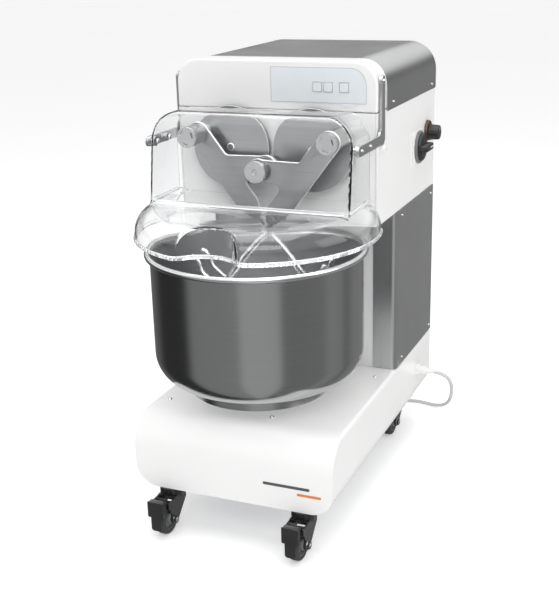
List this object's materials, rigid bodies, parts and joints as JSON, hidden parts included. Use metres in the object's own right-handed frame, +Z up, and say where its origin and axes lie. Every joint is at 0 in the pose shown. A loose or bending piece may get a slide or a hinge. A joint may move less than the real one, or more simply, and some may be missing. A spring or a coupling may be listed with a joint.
{
  "type": "twin arm dough mixer",
  "caption": "Free-standing twin-arm dough mixer on casters: open steel bowl, counter-rotating crank arms, clear tilting guard, white body with stainless covers.",
  "frame": {"origin": "on the floor, under the middle of the machine's own box (the mains lead, its coil and its plug are not counted)", "axes": "+Z up, the front with the bowl and the keypad faces -Y, +X is the side with the rotary switches"},
  "size_m": [0.447, 0.795, 0.779],
  "materials": {
    "white_paint": "smooth satin powder coat",
    "stainless": "fine brushed stainless steel",
    "bowl_steel": "spun and polished stainless steel",
    "cast_grey": "grey painted castings",
    "machined_steel": "machined steel",
    "guard_clear": "clear moulded polycarbonate",
    "black_plastic": "black moulded plastic",
    "grey_plastic": "mid grey moulded plastic",
    "white_plastic": "white moulded plastic",
    "keypad": "printed polyester membrane, pale grey blue",
    "tyre_grey": "dark grey caster tread",
    "belt_rubber": "black drive belt",
    "cord_grey": "light grey PVC sheath",
    "bright_screw": "bright zinc and stainless fasteners"
  },
  "bodies": {
    "frame": {"base_shell": "white_paint", "base_floor": "cast_grey", "column_shell": "white_paint", "back_panel": "white_paint", "head_casing": "white_paint", "head_front_plate": "white_paint", "front_cap": "white_paint", "top_cover": "stainless", "side_cover_left": "stainless", "side_cover_right": "stainless", "keypad_membrane": "keypad", "cover_screws": "bright_screw", "bearing_housings": "cast_grey", "drive_motor": "cast_grey", "drive_belt": "belt_rubber", "control_box": "grey_plastic", "bowl_gearmotor": "cast_grey", "guard_pivots_and_stops": "bright_screw", "switch_plates": "white_plastic", "caster_heads": "black_plastic", "cable_gland": "white_plastic", "mains_cord": "cord_grey", "cord_coil": "cord_grey", "mains_plug": "cord_grey"},
    "crank_right": {"crank_disc_right": "stainless", "crank_shaft_right": "machined_steel", "crank_pin_right": "stainless"},
    "crank_left": {"crank_disc_left": "stainless", "crank_shaft_left": "machined_steel", "crank_pin_left": "stainless"},
    "arm_right": {"arm_plate_right": "stainless", "arm_sleeve_right": "stainless", "fork_right": "stainless", "hub_pin": "stainless"},
    "arm_left": {"arm_plate_left": "stainless", "arm_sleeve_left": "stainless", "fork_left": "stainless"},
    "motor_pulley": {"motor_pulley": "machined_steel"},
    "guard": {"guard_shell": "guard_clear", "guard_arm_right": "stainless", "guard_arm_left": "stainless", "guard_screws": "bright_screw"},
    "bowl": {"bowl": "bowl_steel", "bowl_turntable": "stainless", "bowl_drive_shaft": "machined_steel"},
    "main_switch": {"main_switch_knob": "black_plastic"},
    "speed_dial": {"speed_knob": "black_plastic"},
    "key_start": {"key_start": "grey_plastic"},
    "key_stop": {"key_stop": "grey_plastic"},
    "key_speed": {"key_speed": "grey_plastic"},
    "caster_fr": {"caster_fork_fr": "black_plastic"},
    "wheel_fr": {"caster_wheel_fr": "tyre_grey"},
    "caster_fl": {"caster_fork_fl": "black_plastic"},
    "wheel_fl": {"caster_wheel_fl": "tyre_grey"},
    "caster_rr": {"caster_fork_rr": "black_plastic"},
    "wheel_rr": {"caster_wheel_rr": "tyre_grey"},
    "caster_rl": {"caster_fork_rl": "black_plastic"},
    "wheel_rl": {"caster_wheel_rl": "tyre_grey"},
    "pedal_right": {"brake_pedal_right": "black_plastic"},
    "pedal_left": {"brake_pedal_left": "black_plastic"}
  },
  "joints": [
    {"name": "crank_right_turn", "type": "hinge", "parent": "frame", "child": "crank_right", "pos_m": [0.0737, -0.0545, 0.6343], "axis": [0, -1, 0], "range_deg": [-15, 26]},
    {"name": "crank_left_turn", "type": "hinge", "parent": "frame", "child": "crank_left", "pos_m": [-0.0737, -0.0545, 0.6343], "axis": [0, 1, 0], "range_deg": [-15, 26]},
    {"name": "arm_right_swing", "type": "hinge", "parent": "crank_right", "child": "arm_right", "pos_m": [0.1235, -0.1075, 0.65902], "axis": [0, -1, 0], "range_deg": [-13, 8]},
    {"name": "arm_left_swing", "type": "hinge", "parent": "crank_left", "child": "arm_left", "pos_m": [-0.1235, -0.0755, 0.65902], "axis": [0, 1, 0], "range_deg": [-13, 8]},
    {"name": "motor_pulley_turn", "type": "hinge", "parent": "frame", "child": "motor_pulley", "pos_m": [0.0737, 0.1015, 0.41], "axis": [0, -1, 0], "range_deg": [-31, 53]},
    {"name": "guard_tilt", "type": "hinge", "parent": "frame", "child": "guard", "pos_m": [0, -0.0205, 0.747], "axis": [-1, 0, 0], "range_deg": [0, 75]},
    {"name": "bowl_spin", "type": "hinge", "parent": "frame", "child": "bowl", "pos_m": [0, -0.1265, 0.25], "axis": [0, 0, 1], "continuous": true},
    {"name": "main_switch_turn", "type": "hinge", "parent": "frame", "child": "main_switch", "pos_m": [0.195, 0.2055, 0.6], "axis": [1, 0, 0], "range_deg": [0, 90]},
    {"name": "speed_dial_turn", "type": "hinge", "parent": "frame", "child": "speed_dial", "pos_m": [0.195, 0.2695, 0.617], "axis": [1, 0, 0], "range_deg": [0, 270]},
    {"name": "key_start_press", "type": "slide", "parent": "frame", "child": "key_start", "axis": [0, 1, 0], "range_m": [0, 0.0008], "stiffness_N_per_m": 900},
    {"name": "key_stop_press", "type": "slide", "parent": "frame", "child": "key_stop", "axis": [0, 1, 0], "range_m": [0, 0.0008], "stiffness_N_per_m": 900},
    {"name": "key_speed_press", "type": "slide", "parent": "frame", "child": "key_speed", "axis": [0, 1, 0], "range_m": [0, 0.0008], "stiffness_N_per_m": 900},
    {"name": "caster_fr_swivel", "type": "hinge", "parent": "frame", "child": "caster_fr", "pos_m": [0.122, -0.2435, 0.07], "axis": [0, 0, 1], "continuous": true},
    {"name": "wheel_fr_roll", "type": "hinge", "parent": "caster_fr", "child": "wheel_fr", "pos_m": [0.122, -0.2685, 0.028], "axis": [1, 0, 0], "continuous": true},
    {"name": "caster_fl_swivel", "type": "hinge", "parent": "frame", "child": "caster_fl", "pos_m": [-0.122, -0.2435, 0.07], "axis": [0, 0, 1], "continuous": true},
    {"name": "wheel_fl_roll", "type": "hinge", "parent": "caster_fl", "child": "wheel_fl", "pos_m": [-0.122, -0.2685, 0.028], "axis": [1, 0, 0], "continuous": true},
    {"name": "caster_rr_swivel", "type": "hinge", "parent": "frame", "child": "caster_rr", "pos_m": [0.122, 0.2605, 0.07], "axis": [0, 0, 1], "continuous": true},
    {"name": "wheel_rr_roll", "type": "hinge", "parent": "caster_rr", "child": "wheel_rr", "pos_m": [0.122, 0.2355, 0.028], "axis": [1, 0, 0], "continuous": true},
    {"name": "caster_rl_swivel", "type": "hinge", "parent": "frame", "child": "caster_rl", "pos_m": [-0.122, 0.2605, 0.07], "axis": [0, 0, 1], "continuous": true},
    {"name": "wheel_rl_roll", "type": "hinge", "parent": "caster_rl", "child": "wheel_rl", "pos_m": [-0.122, 0.2355, 0.028], "axis": [1, 0, 0], "continuous": true},
    {"name": "brake_right_press", "type": "hinge", "parent": "caster_fr", "child": "pedal_right", "pos_m": [0.122, -0.2815, 0.0605], "axis": [1, 0, 0], "range_deg": [0, 6]},
    {"name": "brake_left_press", "type": "hinge", "parent": "caster_fl", "child": "pedal_left", "pos_m": [-0.122, -0.2815, 0.0605], "axis": [1, 0, 0], "range_deg": [0, 6]}
  ],
  "couplings": [
    {"joint": "crank_left_turn", "follows": "crank_right_turn", "ratio": 1},
    {"joint": "arm_right_swing", "follows": "crank_right_turn", "ratio": -0.487},
    {"joint": "arm_left_swing", "follows": "crank_right_turn", "ratio": -0.487},
    {"joint": "motor_pulley_turn", "follows": "crank_right_turn", "ratio": 2}
  ]
}
